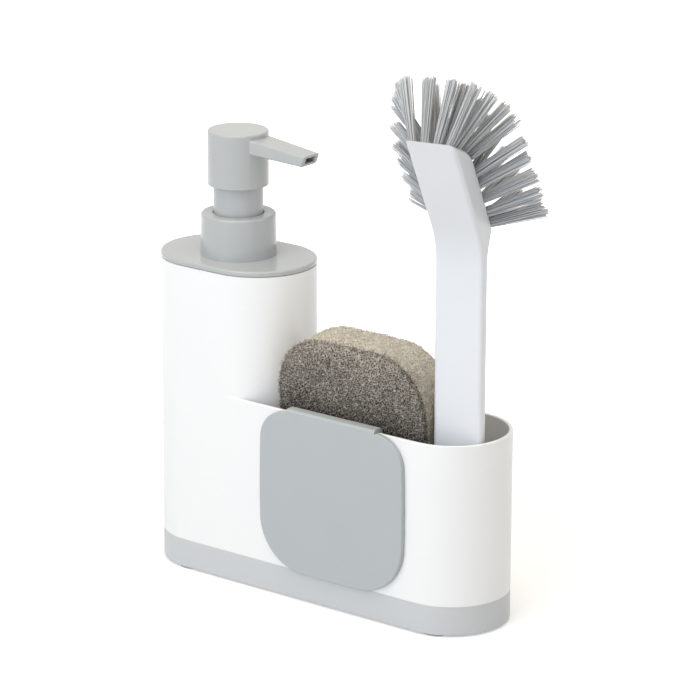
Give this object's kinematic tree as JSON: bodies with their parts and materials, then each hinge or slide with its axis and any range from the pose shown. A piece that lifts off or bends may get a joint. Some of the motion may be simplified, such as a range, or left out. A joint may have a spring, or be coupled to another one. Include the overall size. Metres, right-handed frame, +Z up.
{
  "type": "soap pump caddy",
  "caption": "White sink caddy on a grey drip tray: soap tower with a press pump, open holder with a sponge and a dish brush, and a scraper hung on its rim.",
  "frame": {"origin": "on the table, under the middle of the caddy's oblong plan", "axes": "+Z up, +X along the caddy from the soap tower to the holder's round end, -Y to the front"},
  "size_m": [0.2245, 0.0807, 0.2841],
  "materials": {
    "white_plastic": "satin moulded",
    "tray_plastic": "satin moulded",
    "pump_plastic": "satin moulded",
    "scraper_plastic": "matt moulded",
    "natural_plastic": "natural, slightly cloudy",
    "foot_rubber": "matt",
    "seal_rubber": "matt",
    "spring_steel": "drawn wire and polished ball",
    "sponge_foam": "fine open cells",
    "sponge_scourer": "coarse open cells",
    "bristle_nylon": "fine filaments"
  },
  "bodies": {
    "base": {"drip_tray": "tray_plastic", "rubber_feet": "foot_rubber"},
    "caddy": {"caddy_body": "white_plastic"},
    "lid_assembly": {"lid": "pump_plastic", "lid_seal": "seal_rubber", "pump_collar": "pump_plastic", "collar_gasket": "seal_rubber", "pump_cylinder": "natural_plastic", "stem_guide": "natural_plastic", "dip_tube": "natural_plastic", "return_spring": "spring_steel"},
    "piston_set": {"piston": "seal_rubber", "piston_cap": "natural_plastic"},
    "head": {"pump_stem": "natural_plastic", "stem_sleeve": "pump_plastic", "pump_head": "pump_plastic"},
    "ball": {"inlet_ball": "spring_steel"},
    "scraper": {"dish_scraper": "scraper_plastic"},
    "sponge": {"sponge_foam": "sponge_foam", "sponge_scourer": "sponge_scourer"},
    "brush": {"brush_handle": "white_plastic", "bristle_tufts": "bristle_nylon"}
  },
  "joints": [
    {"name": "body_lift", "type": "slide", "parent": "base", "child": "caddy", "axis": [0, 0, 1], "range_m": [0, 0.03]},
    {"name": "lid_lift", "type": "slide", "parent": "caddy", "child": "lid_assembly", "axis": [0, 0, 1], "range_m": [0, 0.145]},
    {"name": "pump_press", "type": "slide", "parent": "lid_assembly", "child": "piston_set", "axis": [0, 0, -1], "range_m": [0, 0.013], "stiffness_N_per_m": 400, "springref_m": -0.01, "deforming": ["return_spring"]},
    {"name": "head_swivel", "type": "hinge", "parent": "piston_set", "child": "head", "pos_m": [-0.06104, 0, 0.2], "axis": [0, 0, 1], "continuous": true},
    {"name": "ball_lift", "type": "slide", "parent": "lid_assembly", "child": "ball", "axis": [0, 0, 1], "range_m": [0, 0.0015]},
    {"name": "scraper_lift", "type": "slide", "parent": "caddy", "child": "scraper", "axis": [0, 0, 1], "range_m": [0, 0.02]},
    {"name": "sponge_lift", "type": "slide", "parent": "caddy", "child": "sponge", "axis": [0, -0.1045, 0.9945], "range_m": [0, 0.07]},
    {"name": "brush_lift", "type": "slide", "parent": "caddy", "child": "brush", "axis": [0, 0, 1], "range_m": [0, 0.09]}
  ]
}
